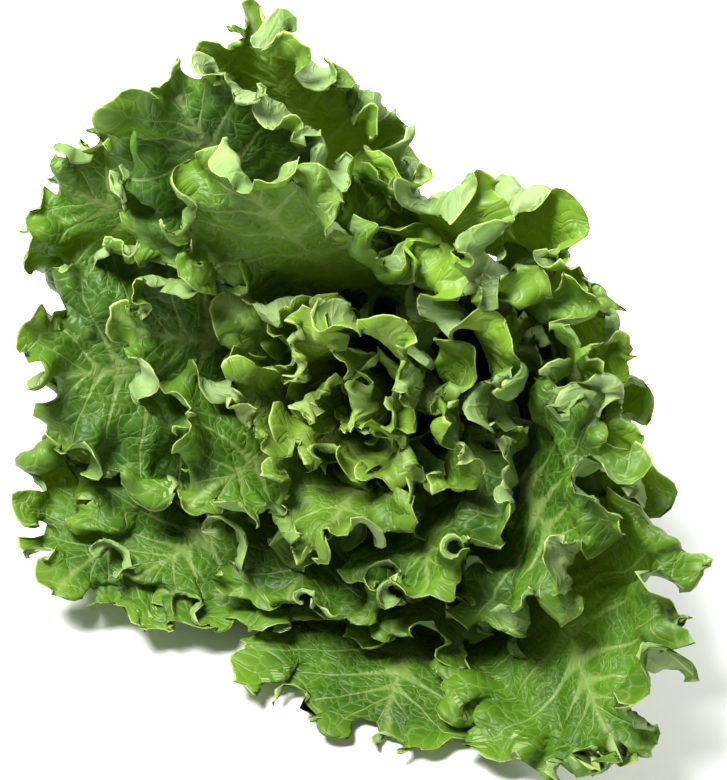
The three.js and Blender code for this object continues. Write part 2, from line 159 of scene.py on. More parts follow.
# What only the finer leaves have
BLADE = 0.62
MARGIN_BLADE = 0.3
LOBE_DEPTH = 11
OWN_LOBE_DEPTH = 0.6
DEEPEST_LOBE = 0.35  # of the way to the midrib
LOBE_NOTCH = 1.6
LOBES_FADE_INWARDS = 4
SWELLS = ((0.05, 19, 30), (0.03, 37, 31))  # its height, its radians along the margin, and its draw's key
TOOTH_LENGTH = 8
TOOTH_DEPTH = 3
TOOTH_POINT = 0.65
TEETH_FADE = (0.02, 0.2)
TEETH_FADE_INWARDS = 14
RUFFLES_TO_A_FRILL = 2
RUFFLE_HEIGHT = (3.2, 7)
RUFFLES_START_AT = 0.2
RUFFLES_DEEPEN = 1.5
OWN_RUFFLE_HEIGHT = 0.4
RUFFLE_OVERHANG = 0.45
CURL_REACH = 13
CURL = 0.6  # radians at the margin
CURL_BY_FRILL = 0.3
CURL_BY_RUFFLE = 0.8
LEAST_CURL = 1e-3  # radians
CRIMP_LENGTH = 9
CRIMP_HEIGHT = 1.1
CRIMPS_START_AT = 0.75
CRIMPS_DEEPEN = 1.5
VEIN_STEP = 17
VEIN_WIDTH = 1.2
VEIN_RISE = 0.35
VEIN_RISE_BELOW = 0.6 * VEIN_RISE
MIDRIB_TIP_WIDTH = 1.2
MIDRIB_ROOT_WIDTH = 6
MIDRIB_WIDENS = 1.5
BLISTER_RISE = 0.7
BLISTER_MARGIN = 8
BLISTERS_FROM_RIB = (0.05, 0.3)
BLISTER_BEND = 2  # radians
BLISTERS_ACROSS = (0.62, 0.21)  # radians for each millimetre: its own, and those of the wave that bends it
BLISTERS_ALONG = (0.55, 0.17)
PALE_ROOT = 75
# Painted light and shade in the leaves' tone: leaves round the head's upper side are lighter, and outer
# leaves round its left side are darker and cooler green
PAINTED_LIGHT_CLOCK = 20
PAINTED_LIGHT_FROM = 0.1
PAINTED_SHADE_CLOCK = 285
PAINTED_SHADE_FROM = -0.2
TONE = 0.42  # from the deepest green, 0, to the lightest, 1
OWN_TONE = 0.16
PAINTED_LIGHT_TONE = 0.4
PAINTED_SHADE_TONE = 0.18
PAINTED_SHADE_COOLNESS = 0.45

# How finely they are meshed
RIM_STATIONS = 521
RINGS = 19
HEART_STATIONS = 281
HEART_RINGS = 14
PATTERN_STEP = 30  # sets the leaves apart on the plane of their patterns

# What only the finer stem has
FACE_RINGS = 16
STEM_PROFILE_STEPS = 10  # between two rings of the solid's lathe
STEM_TURNS = 120
FACE_HOLLOW = 0.9
HOLLOW_SHARE = 0.6  # of the face's radius
BUNDLE_RING = 11.5
BUNDLE_COUNT = 22
BUNDLE_RISE = 0.25
BUNDLE_WIDTH = 1.1
FIBRE_RISE = (0.12, 0.1)
FIBRE_COUNT = (31, 47)
LUMP_RISE = 0.35
LUMP_COUNT = 5
LUMPS_BEGIN = 3 - CUT_BEHIND
SKIN_DEPTH = 0.4
SCAR_COUNT = 9
SCAR_SIZE = (5.5, 1.7, 0.9)  # half its width, half its height, and its rise
SCAR_SCALES = (0.75, 1.1)
SCAR_CLOCK = 60
SCAR_HEIGHTS = (-7.2, -2.6)
SCAR_SUNK = 0.3
SCAR_MIDDLE = 0.35  # of its rise
SCAR_LIP = 0.8  # of the way out
SCAR_SEED = 5
SCAR_SPOKES = 24
SCAR_RINGS = 6
SCAR_FOOT = 0.8
SCAR_BOTTOM = 1.2
SCAR_DROOP = 1.2
SCAR_BEND = 0.075
GOLDEN_STEP = 0.618


def mix(pair, share):
    return pair[0] + (pair[1] - pair[0]) * share


def smooth(low, high, x):
    t = np.clip((x - low) / (high - low), 0, 1)
    return t * t * (3 - 2 * t)


def unit(vectors):
    return vectors / np.maximum(np.linalg.norm(vectors, axis=-1, keepdims=True), 1e-9)


def draw(leaf, key):
    """A seeded draw from 0 to 1: the same for the same leaf and key."""
    x = math.sin(leaf * 12.9898 + key * 78.233 + 4.1) * 43758.5453
    return x - math.floor(x)


def sway(leaf, key):
    return 2 * draw(leaf, key) - 1


class Leaf:
    """One leaf: what sets it apart, its flat outline, and the layer that it lies in."""

    OUTLINE_STEPS = 60
    FAN_RISE = 1.35
    FAN_FALL = 3.6
    FAN_WIDEST = 0.545
    REACH = 270
    RIB_STEPS = 48
    CLOCK_STEP = 15
    CLOCK_LINES = 9
    LEAST_TURN_RADIUS = 8
    BEND_MOST = 1.3
    BEND_POWER = 1.2
    FEWEST_WAVES = 3

    def __init__(self, number):
        self.number = number
        self.age = number / (LEAF_COUNT - 1)
        outer = number - (LEAF_COUNT - len(OUTER_LEAVES))
        if outer >= 0:
            turned, longer, wider, self.flare = OUTER_LEAVES[outer]
        else:
            turned = OWN_TURN * sway(number, 1)
            longer = 1 + OWN_SIZE * sway(number, 2)
            wider = 1 + OWN_SIZE * sway(number, 3)
            self.flare = 0
        self.clock = LAST_CLOCK + (number - (LEAF_COUNT - 1)) * SPIRAL_STEP + turned
        self.length = mix(LEAF_LENGTH, self.age**LENGTH_GROWTH) * longer
        self.width = mix(LEAF_HALF_WIDTH, self.age**WIDTH_GROWTH) * wider
        self.drift = OWN_DRIFT * sway(number, 6)
        self.frill = mix(FRILL_HEIGHT, self.age**FRILL_GROWTH) * (1 + OWN_FRILL * sway(number, 7))
        self.root_radius = mix(ROOT_RADIUS, self.age)
        self.root_height = mix(ROOT_HEIGHT, self.age)
        self._outline()
        self._layer()
        self.waves = max(self.FEWEST_WAVES, round(2 * self.total * (1 - 2 * FRILL_FROM) / WAVE_LENGTH))

    def _outline(self):
        y = 1 - (1 - np.arange(self.OUTLINE_STEPS + 1) / self.OUTLINE_STEPS) ** 2
        fan = y**self.FAN_RISE * np.sqrt(np.maximum(0, 1 - y**self.FAN_FALL)) / self.FAN_WIDEST
        half = self.width * fan + mix(ROOT_HALF_WIDTH, self.age) * np.sqrt(np.maximum(0, 1 - y))
        self.edge = np.stack([half, y * self.length], axis=-1)
        steps = np.linalg.norm(np.diff(self.edge, axis=0), axis=1)
        self.edge_length = np.concatenate([[0], np.cumsum(steps)])
        self.total = self.edge_length[-1]

    def on_outline(self, u):
        """The flat leaf's outline: u is 0 at the root's left, 0.5 at the tip and 1 at the root's right."""
        side = np.where(u <= 0.5, -1.0, 1.0)
        at = np.where(u <= 0.5, 2 * u, 2 - 2 * u) * self.total
        x = np.interp(at, self.edge_length, self.edge[:, 0])
        y = np.interp(at, self.edge_length, self.edge[:, 1])
        return side * x, y

    def _layer(self):
        """The layer's distance and height along lines at some clock angles. They lean out more and more."""
        step = self.REACH / self.RIB_STEPS
        lines = np.arange(-self.CLOCK_LINES, self.CLOCK_LINES + 1)
        clock = np.radians(self.clock + self.CLOCK_STEP * lines)
        below = smooth(BELOW_FROM, 1, -np.cos(clock))
        right = smooth(RIGHT_FROM, 1, np.cos(clock - math.radians(RIGHT_CLOCK)))
        root = mix(ROOT_LEAN, self.age)
        tip = mix(TIP_LEAN, self.age**LEAN_GROWTH) * (1 - LESS_BELOW * below - LESS_RIGHT * right)
        tip = tip + self.flare
        s = (np.arange(self.RIB_STEPS) + 0.5) * step
        bent = np.clip((s - BEND_START) / (BEND_END - BEND_START), 0, self.BEND_MOST) ** self.BEND_POWER
        lean = np.radians(root + (tip[:, None] - root) * bent)
        start = np.zeros((len(clock), 1))
        self.radius = self.root_radius + np.hstack([start, np.cumsum(np.sin(lean) * step, axis=1)])
        self.height = self.root_height + np.hstack([start, np.cumsum(np.cos(lean) * step, axis=1)])

    def base(self, w, s):
        """Points of the layer, w across and s along it: the place, the distance and the clock angle."""
        x = np.clip(s / self.REACH * self.RIB_STEPS, 0, self.RIB_STEPS - 0.001)
        k = np.floor(x).astype(int)
        part = x - k

        def on_line(table, line):
            return table[line, k] + (table[line, k + 1] - table[line, k]) * part

        middle = on_line(self.radius, self.CLOCK_LINES)
        turned = np.degrees(w / np.hypot(middle, self.LEAST_TURN_RADIUS))
        turned = self.drift * (s / self.length) ** 2 + turned
        across = np.clip(turned / self.CLOCK_STEP + self.CLOCK_LINES, 0, 2 * self.CLOCK_LINES - 0.001)
        line = np.floor(across).astype(int)
        share = across - line
        radius = on_line(self.radius, line) * (1 - share) + on_line(self.radius, line + 1) * share
        height = on_line(self.height, line) * (1 - share) + on_line(self.height, line + 1) * share
        clock = np.radians(self.clock + turned)
        place = np.stack([radius * np.cos(clock), radius * np.sin(clock), height], axis=-1)
        return place, radius, clock


def field(leaf, w, s, finer=1):
    """The frill field's value from -1 to 1, and its slopes round the head and along it."""
    _, radius, clock = leaf.base(w, s)
    along = s + leaf.root_height
    best = 2 * math.pi * radius / WAVE_LENGTH
    value = across = lengthwise = power = 0
    for times, length, start in WAVES:
        weight = np.exp(-((np.log(times / best) / WAVE_SPREAD) ** 2))
        phase = finer * (times * clock + 2 * math.pi * along / length) + start * finer**2
        value = value + weight * np.sin(phase)
        across = across + weight * np.cos(phase) * times / best
        lengthwise = lengthwise + weight * np.cos(phase) * WAVE_LENGTH / length
        power = power + weight**2
    norm = 1 / np.maximum(np.sqrt(power), LEAST_WAVE_POWER)
    return np.tanh(WAVE_SHARPNESS * value * norm), across * norm, lengthwise * norm


def wander(leaf, key, u, steps):
    """A smooth seeded wander from -1 to 1 along u."""
    total = 0
    for n in range(4):
        rate = steps * (0.6 + 0.45 * n) * (1 + 0.1 * sway(leaf.number, key + n))
        total = total + np.sin(2 * math.pi * (rate * u + draw(leaf.number, key + 10 + n)))
    return total / 2.4


def from_root(u):
    return np.minimum(u, 1 - u)


def frill_share(u):
    """How much of the frill there is: none along the root, all of it further out."""
    return smooth(*FRILL_FADES, from_root(u))


def lobe_cut(leaf, u, size):
    """The notches between the lobes, as a share of the leaf's size there."""
    frilled_part = (u - FRILL_FROM) / (1 - 2 * FRILL_FROM)
    notch = 0.5 - 0.5 * np.cos(4 * math.pi * leaf.waves * frilled_part)
    depth = LOBE_DEPTH * (1 + OWN_LOBE_DEPTH * wander(leaf, 40, u, leaf.waves))
    return frill_share(u) * np.minimum(depth, DEEPEST_LOBE * size) * notch**LOBE_NOTCH / size


def teeth(leaf, u, size):
    """The small teeth, as a share of the leaf's size there."""
    count = 2 * leaf.total / TOOTH_LENGTH * (u + 0.006 * wander(leaf, 60, u, 2 * leaf.waves))
    tooth = 1 - np.abs(np.sin(math.pi * count)) ** TOOTH_POINT
    strength = smooth(*TEETH_FADE, from_root(u)) * (0.7 + 0.5 * wander(leaf, 80, u, 20))
    return TOOTH_DEPTH * tooth * strength / size


def flat_leaf(leaf, u, v):
    """Where (u, v) lies when the leaf is flat, and how far out: u runs round the margin, v out to it."""
    x, y = leaf.on_outline(u)
    foot = RIB_END * leaf.length * (y / leaf.length) ** VEIN_SWEEP
    size = np.maximum(np.hypot(x, y - foot), 1)
    swell = sum(height * np.sin(rate * u + 6 * draw(leaf.number, key)) for height, rate, key in SWELLS)
    at_margin = frill_share(u) * swell - lobe_cut(leaf, u, size)
    reach = v * (1 + at_margin * v**LOBES_FADE_INWARDS + teeth(leaf, u, size) * v**TEETH_FADE_INWARDS)
    return x * reach, foot + (y - foot) * reach, size * v


def frilled(leaf, u, v):
    """Points of the lobed leaf's middle surface in the head's frame, with the frills of the solids."""
    w, s, _ = flat_leaf(leaf, u, v)
    d = 1
    place, _, _ = leaf.base(w, s)
    across = unit(leaf.base(w + d, s)[0] - leaf.base(w - d, s)[0])
    along = unit(leaf.base(w, s + d)[0] - leaf.base(w, s - d)[0])
    outward = unit(np.cross(across, along))
    depth = np.clip((v - FRILL_STARTS_AT) / (1 - FRILL_STARTS_AT), 0, 1)[..., None] ** FRILL_DEEPENS
    height = leaf.frill * frill_share(u)[..., None] * depth
    value, over, up = (part[..., None] for part in field(leaf, w, s))
    hang = OVERHANG * height * depth * value
    return place + outward * height * value - across * hang * over - along * hang * up


def surface_ways(points):
    """Unit steps along u and v of a grid of points, and the way outwards."""
    along_u = unit(np.gradient(points, axis=0))
    along_v = unit(np.gradient(points, axis=1))
    return along_u, along_v, unit(np.cross(along_u, along_v))


def with_ruffles(leaf, u, v, points, coarse, value, over):
    """Ruffles finer than the frill, deeper towards the margin."""
    depth = np.clip((v - RUFFLES_START_AT) / (1 - RUFFLES_START_AT), 0, 1) ** RUFFLES_DEEPEN
    uneven = 1 + OWN_RUFFLE_HEIGHT * wander(leaf, 100, u, 5)
    height = mix(RUFFLE_HEIGHT, leaf.age) * frill_share(u) * depth * uneven
    pull = RUFFLE_OVERHANG * height * value * over * (1 - np.abs(coarse))
    along_u, _, outward = surface_ways(points)
    return points + outward * (height * value)[..., None] - along_u * pull[..., None]


def with_rolled_margin(leaf, u, v, points, coarse, value):
    """The margin rolls up or down on an arc where a ruffle is high or low."""
    _, along_v, outward = surface_ways(points)
    to_margin = flat_leaf(leaf, u, np.ones_like(u))[2]
    margin = np.clip(1 - (1 - v) * to_margin / CURL_REACH, 0, 1)
    way = np.clip(CURL_BY_FRILL * coarse + CURL_BY_RUFFLE * value, -1, 1)
    roll = CURL * frill_share(u) * way * margin
    roll = np.where(np.abs(roll) < LEAST_CURL, LEAST_CURL, roll)
    rolled = margin * CURL_REACH * (1 - np.cos(roll)) / roll
    drawn_in = margin * CURL_REACH * (1 - np.sin(roll) / roll)
    return points + outward * rolled[..., None] - along_v * drawn_in[..., None]


def with_crimps(leaf, u, v, points):
    """Small crimps right at the margin."""
    _, _, outward = surface_ways(points)
    crimp = wander(leaf, 120, u, 2 * leaf.total / CRIMP_LENGTH)
    depth = np.clip((v - CRIMPS_START_AT) / (1 - CRIMPS_START_AT), 0, 1) ** CRIMPS_DEEPEN
    return points + outward * (CRIMP_HEIGHT * frill_share(u) * depth * crimp)[..., None]


def ruffled(leaf, u, v):
    """Points of the finer leaf's middle surface in the head's frame."""
    w, s, _ = flat_leaf(leaf, u, v)
    coarse = field(leaf, w, s)[0]
    value, over, _ = field(leaf, w, s, RUFFLES_TO_A_FRILL)
    points = with_ruffles(leaf, u, v, frilled(leaf, u, v), coarse, value, over)
    points = with_rolled_margin(leaf, u, v, points, coarse, value)
    return with_crimps(leaf, u, v, points)


TURN = math.radians(HEAD_TURN)
RISE = math.radians(HEAD_RISE)
AXIS = np.array([-math.sin(TURN) * math.cos(RISE), -math.cos(TURN) * math.cos(RISE), math.sin(RISE)])
RIGHT = np.array([math.cos(TURN), -math.sin(TURN), 0])
UP = np.cross(AXIS, RIGHT)
SHIFT = np.zeros(3)  # until the stem's box tells it


def to_world(points):
    """The head's points in the world, in metres. What is low is pressed flatter, and the head settles."""
    place = np.array([0, 0, HEAD_LIFT]) + points @ np.stack([UP, RIGHT, AXIS])
    low = PRESS_FROM * np.exp((np.minimum(place[..., 2], PRESS_FROM) - PRESS_FROM) / PRESS_FROM)
    place[..., 2] = np.where(place[..., 2] > PRESS_FROM, place[..., 2], low)
    place[..., 2] -= place[..., 0] * SETTLE_SLOPE[0] + place[..., 1] * SETTLE_SLOPE[1]
    return (place + SHIFT) * MM


# The stem's solid is a lathe of these radii and heights. Its box tells where the head's frame lies.
STEM_WAIST = (sum(ROOT_RADIUS) / 2 - STEM_GAP, (STEM_HEIGHT + 1) / 2)
STEM_PROFILE = (
    (STEM_RADIUS - 2.4, -CUT_BEHIND),
    (STEM_RADIUS - 0.4, 2.2 - CUT_BEHIND),
    (ROOT_RADIUS[1] - STEM_GAP, 0),
    (ROOT_RADIUS[1] - STEM_GAP, ROOT_HEIGHT[1]),
    STEM_WAIST,
    (ROOT_RADIUS[0] - STEM_GAP, ROOT_HEIGHT[0]),
    (0, STEM_HEIGHT + 3),
)


def shift_to_solids():
    """How far the head's frame lies from the solids' frame, in millimetres."""
    angles = 2 * math.pi * np.arange(STEM_SIDES) / STEM_SIDES
    rings = [[[r * math.sin(a), r * math.cos(a), h] for a in angles] for r, h in STEM_PROFILE]
    stem = to_world(np.array(rings)).reshape(-1, 3)
    low, high = (np.array(corner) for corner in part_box("stem"))
    return ((low + high) / 2 - (stem.min(0) + stem.max(0)) / 2) / MM


SHIFT = shift_to_solids()


def vector_attribute(mesh, name, x, y, z):
    """Stores three numbers for each point. A number that is the same everywhere may be given once."""
    values = np.empty((len(mesh.vertices), 3), np.float32)
    for column, value in enumerate((x, y, z)):
        values[:, column] = value
    mesh.attributes.new(name, "FLOAT_VECTOR", "POINT").data.foreach_set("vector", values.reshape(-1))


def linked(name, data):
    """A new object in the scene, at the origin."""
    thing = bpy.data.objects.new(name, data)
    bpy.context.scene.collection.objects.link(thing)
    return thing


def smooth_piece(mesh, material):
    """The mesh as a smooth-shaded piece with its material."""
    mesh.shade_smooth()
    mesh.materials.append(material)
    return linked(mesh.name, mesh)


def leaf_faces(stations, rings):
    """A closed leaf's faces, and the grid's points that they use. Its halves share the midrib's points."""
    index = np.arange(stations * rings).reshape(stations, rings)
    index[stations // 2 + 1 :, 0] = index[: stations // 2, 0][::-1]
    used, grid = np.unique(index, return_inverse=True)
    grid = grid.reshape(stations, rings)
    count = len(used)
    corners = [grid[:-1, :-1], grid[1:, :-1], grid[1:, 1:], grid[:-1, 1:]]
    over = np.stack(corners, axis=-1).reshape(-1, 4)
    rim = np.concatenate([grid[0, :], grid[1:, -1], grid[-1, ::-1][1:]])
    wall = np.stack([rim[:-1], rim[1:], rim[1:] + count, rim[:-1] + count], axis=-1)
    return np.concatenate([over, over[:, ::-1] + count, wall]), used


def leaf_piece(leaf, material):
    """One leaf as a closed thin mesh: an upper side that faces the heart, an under side, and a rim."""
    in_heart = leaf.number < HEART_LEAVES
    stations = HEART_STATIONS if in_heart else RIM_STATIONS
    rings = HEART_RINGS if in_heart else RINGS
    t = np.linspace(0, 1, rings)
    closer_at_both_ends = 0.5 * t + 0.5 * (0.5 - 0.5 * np.cos(math.pi * t))
    u, v = np.meshgrid(np.linspace(0, 1, stations), closer_at_both_ends, indexing="ij")
    middle = ruffled(leaf, u, v)
    _, _, outward = surface_ways(middle)
    w, s, size = flat_leaf(leaf, u, v)

    # Side veins run out from the midrib at even steps along the margin
    vein_phase = from_root(u) * 2 * leaf.total / VEIN_STEP
    vein_scale = VEIN_STEP * np.clip(v, 0.05, 1)
    vein_distance = np.abs(vein_phase % 1 - 0.5) * vein_scale
    vein = np.exp(-((vein_distance / VEIN_WIDTH) ** 2)) * (1 - v**3)
    to_edge = (1 - v) * np.maximum(size / np.maximum(v, 1e-3), 1)

    # The midrib widens and thickens towards the root, on the under side
    down_rib = np.clip(1 - s / leaf.length, 0, 1)
    rib_width = MIDRIB_TIP_WIDTH + MIDRIB_ROOT_WIDTH * down_rib**MIDRIB_WIDENS
    rib = np.exp(-((w / rib_width) ** 2))
    rib_depth = rib * mix(RIB_DEPTH, leaf.age) * down_rib

    # The blade bulges in blisters between the veins
    own_wave, bending_wave = BLISTERS_ACROSS
    blister = np.sin(w * own_wave + BLISTER_BEND * np.sin(s * bending_wave))
    own_wave, bending_wave = BLISTERS_ALONG
    blister = blister * np.sin(s * own_wave + BLISTER_BEND * np.sin(w * bending_wave + leaf.number))
    inside = np.clip(to_edge / BLISTER_MARGIN, 0, 1) * smooth(*BLISTERS_FROM_RIB, v)
    middle = middle - outward * (BLISTER_RISE * blister * inside - VEIN_RISE * vein)[..., None]
    half = mix((BLADE / 2, MARGIN_BLADE / 2), v**6)
    over = to_world(middle - outward * half[..., None])
    under = to_world(middle + outward * (half + rib_depth + VEIN_RISE_BELOW * vein)[..., None])
    over[..., 2] = np.maximum(over[..., 2], ABOVE_FLOOR + MARGIN_BLADE * MM)
    under[..., 2] = np.maximum(under[..., 2], ABOVE_FLOOR)

    faces, used = leaf_faces(stations, rings)
    points = np.concatenate([over.reshape(-1, 3)[used], under.reshape(-1, 3)[used]])
    mesh = bpy.data.meshes.new(f"frilled_leaf_{leaf.number + 1:02d}")
    mesh.from_pydata(points.tolist(), [], faces.tolist())
    mesh.validate()

    def both_sides(values):
        return np.tile(values.reshape(-1)[used], 2)

    is_upper = np.repeat([1, 0], len(used))
    # Painted light and shade: a lighter tone round the head's upper side, and a darker, cooler one round
    # its left side, strongest on the outer leaves
    painted_shade_side = smooth(PAINTED_SHADE_FROM, 1, math.cos(math.radians(leaf.clock - PAINTED_SHADE_CLOCK))) * leaf.age
    painted_light = smooth(PAINTED_LIGHT_FROM, 1, math.cos(math.radians(leaf.clock - PAINTED_LIGHT_CLOCK)))
    tone_with_painted_light = TONE + OWN_TONE * sway(leaf.number, 50) + PAINTED_LIGHT_TONE * painted_light - PAINTED_SHADE_TONE * painted_shade_side
    root = 1 - np.clip(both_sides(s) / PALE_ROOT, 0, 1)
    across = both_sides(w) / CM + PATTERN_STEP * leaf.number
    vector_attribute(mesh, "leaf_flat", across, both_sides(s) / CM, 0)
    vector_attribute(mesh, "leaf_net", both_sides(vein_phase), both_sides(vein_scale), both_sides(to_edge))
    vector_attribute(mesh, "leaf_kind", is_upper, both_sides(rib), leaf.age)
    # The tone with its painted light and shade, the painted shade's coolness, and the pale root
    vector_attribute(mesh, "leaf_tone", np.clip(tone_with_painted_light, 0, 1), PAINTED_SHADE_COOLNESS * painted_shade_side, root)
    return smooth_piece(mesh, material)


def stem_profile():
    """The stem's radii and heights from the middle of its cut face to its tip."""
    face_radius, face_height = STEM_PROFILE[0]
    profile = [(face_radius * k / FACE_RINGS, face_height) for k in range(FACE_RINGS + 1)]
    for (r0, h0), (r1, h1) in zip(STEM_PROFILE, STEM_PROFILE[1:]):
        for k in range(1, STEM_PROFILE_STEPS + 1):
            share = k / STEM_PROFILE_STEPS
            profile.append((mix((r0, r1), share), mix((h0, h1), share)))
    return np.array(profile)


def stem_piece(material):
    """The stem as a closed lathe: a hollowed cut face with a ring of bundles, and a fibrous skin."""
    profile = stem_profile()
    rings = len(profile)
    angles = 2 * math.pi * np.arange(STEM_TURNS) / STEM_TURNS
    radius, angle = np.meshgrid(profile[:, 0], angles, indexing="ij")
    height = np.repeat(profile[:, 1:], STEM_TURNS, axis=1)
    on_face = np.repeat((np.arange(rings) <= FACE_RINGS)[:, None], STEM_TURNS, axis=1) * 1.0
    hollow = FACE_HOLLOW * np.clip(1 - (radius / (HOLLOW_SHARE * STEM_PROFILE[0][0])) ** 2, 0, 1)
    on_ring = np.exp(-(((radius - BUNDLE_RING) / BUNDLE_WIDTH) ** 2))
    bundles = BUNDLE_RISE * on_ring * (0.5 + 0.5 * np.cos(BUNDLE_COUNT * angle))
    height = height + on_face * (hollow - bundles)
    fibres = FIBRE_RISE[0] * np.sin(FIBRE_COUNT[0] * angle + 2 * np.sin(0.3 * height))
    fibres = fibres + FIBRE_RISE[1] * np.sin(FIBRE_COUNT[1] * angle + 1)
    lumps = LUMP_RISE * np.sin(LUMP_COUNT * angle + 0.2 * height)
    lumps = lumps * smooth(-CUT_BEHIND, LUMPS_BEGIN, height)
    grown = radius + (1 - on_face) * (fibres + lumps - SKIN_DEPTH) * smooth(0, 3, radius)
    points = to_world(np.stack([grown * np.sin(angle), grown * np.cos(angle), height], axis=-1))
    points[..., 2] = np.maximum(points[..., 2], ABOVE_FLOOR)

    # The first and the last ring are one point each
    index = np.arange(rings * STEM_TURNS).reshape(rings, STEM_TURNS)
    index[0, :] = index[0, 0]
    index[-1, :] = index[-1, 0]
    used, grid = np.unique(index, return_inverse=True)
    grid = grid.reshape(rings, STEM_TURNS)
    after = np.roll(grid, -1, axis=1)
    faces = np.stack([grid[:-1], after[:-1], after[1:], grid[1:]], axis=-1).reshape(-1, 4).tolist()
    faces = [[corner for k, corner in enumerate(face) if corner != face[k - 1]] for face in faces]
    mesh = bpy.data.meshes.new("cut_stem")
    mesh.from_pydata(points.reshape(-1, 3)[used].tolist(), [], faces)
    mesh.validate()

    def flat(values):
        return values.reshape(-1)[used]

    across = flat(radius * np.sin(angle))
    vector_attribute(mesh, "stem_place", across, flat(radius * np.cos(angle)), flat(height))
    vector_attribute(mesh, "stem_kind", flat(on_face), flat(radius), 0)
    return smooth_piece(mesh, material)


def scar_mesh(material):
    """One leaf scar: a low crescent with a raised lip, its foot sunk into the stem."""
    half_width, half_height, rise = SCAR_SIZE
    points = [(0, 0, SCAR_MIDDLE * rise)]
    for ring in range(1, SCAR_RINGS + 1):
        share = ring / SCAR_RINGS
        to_lip = min(share / SCAR_LIP, 1)
        lip = rise * mix((SCAR_MIDDLE, 1), math.sin(math.pi / 2 * to_lip**2))
        if ring == SCAR_RINGS:
            lip = -SCAR_FOOT
        for spoke in range(SCAR_SPOKES):
            angle = 2 * math.pi * spoke / SCAR_SPOKES
            x = half_width * share * math.cos(angle)
            y = half_height * share * math.sin(angle) - SCAR_DROOP * (x / half_width) ** 2
            points.append((x, y, lip - SCAR_BEND * x * x))
    points.append((0, 0, -SCAR_BOTTOM))

    following = [(k + 1) % SCAR_SPOKES for k in range(SCAR_SPOKES)]
    faces = [(0, 1 + k, 1 + following[k]) for k in range(SCAR_SPOKES)]
    for ring in range(SCAR_RINGS - 1):
        for k in range(SCAR_SPOKES):
            one = 1 + ring * SCAR_SPOKES + k
            other = 1 + ring * SCAR_SPOKES + following[k]
            faces.append((one, one + SCAR_SPOKES, other + SCAR_SPOKES, other))
    foot = 1 + (SCAR_RINGS - 1) * SCAR_SPOKES
    faces += [(len(points) - 1, foot + following[k], foot + k) for k in range(SCAR_SPOKES)]
    mesh = bpy.data.meshes.new("leaf_scar")
    mesh.from_pydata([tuple(value * MM for value in point) for point in points], [], faces)
    mesh.materials.append(material)
    mesh.shade_smooth()
    return mesh


def scar_tree():
    """Puts a scar on every point, turned as the point says, between the least and the greatest size."""
    tree = bpy.data.node_groups.new("leaf_scars", "GeometryNodeTree")
    for name, kind in (
        ("Geometry", "NodeSocketGeometry"),
        ("Scar", "NodeSocketObject"),
        ("Least size", "NodeSocketFloat"),
        ("Greatest size", "NodeSocketFloat"),
        ("Material", "NodeSocketMaterial"),
    ):
        tree.interface.new_socket(name, in_out="INPUT", socket_type=kind)
    tree.interface.new_socket("Geometry", in_out="OUTPUT", socket_type="NodeSocketGeometry")
    given = tree.nodes.new("NodeGroupInput")
    turn = tree.nodes.new("GeometryNodeInputNamedAttribute")
    turn.data_type = "FLOAT_VECTOR"
    turn.inputs["Name"].default_value = "turn"
    scar = tree.nodes.new("GeometryNodeObjectInfo")
    size = tree.nodes.new("FunctionNodeRandomValue")
    size.data_type = "FLOAT"
    size.inputs["Seed"].default_value = SCAR_SEED
    number_inputs = {socket.name: socket for socket in size.inputs if socket.type == "VALUE"}
    number_output = next(socket for socket in size.outputs if socket.type == "VALUE")
    place = tree.nodes.new("GeometryNodeInstanceOnPoints")
    real = tree.nodes.new("GeometryNodeRealizeInstances")
    dress = tree.nodes.new("GeometryNodeSetMaterial")
    out = tree.nodes.new("NodeGroupOutput")
    for start, end in (
        (given.outputs["Scar"], scar.inputs["Object"]),
        (given.outputs["Least size"], number_inputs["Min"]),
        (given.outputs["Greatest size"], number_inputs["Max"]),
        (given.outputs["Geometry"], place.inputs["Points"]),
        (scar.outputs["Geometry"], place.inputs["Instance"]),
        (turn.outputs["Attribute"], place.inputs["Rotation"]),
        (number_output, place.inputs["Scale"]),
        (place.outputs["Instances"], real.inputs["Geometry"]),
        (real.outputs["Geometry"], dress.inputs["Geometry"]),
        (given.outputs["Material"], dress.inputs["Material"]),
        (dress.outputs["Geometry"], out.inputs["Geometry"]),
    ):
        tree.links.new(start, end)
    return tree


def on_stem(radius, clock, height):
    """A point of the stem in the world, in metres."""
    return to_world(np.array([radius * math.cos(clock), radius * math.sin(clock), height]))


def scar_places():
    """Where the scars lie on the stem's skin, and how each is turned to lie flat on it."""
    radii, heights = zip(*STEM_PROFILE[:3])
    places = []
    turns = []
    for number in range(SCAR_COUNT):
        clock = math.radians(SCAR_CLOCK + number * SPIRAL_STEP)
        height = mix(SCAR_HEIGHTS, (number * GOLDEN_STEP) % 1)
        radius = np.interp(height, heights, radii) - SCAR_SUNK
        here = on_stem(radius, clock, height)
        out = unit(on_stem(radius + 1, clock, height) - here)
        across = unit(np.cross(on_stem(radius, clock, height + 1) - here, out))
        turn = Matrix(np.stack([across, np.cross(out, across), out], axis=1).tolist())
        places.append(here.tolist())
        turns.extend(turn.to_euler())
    return places, turns


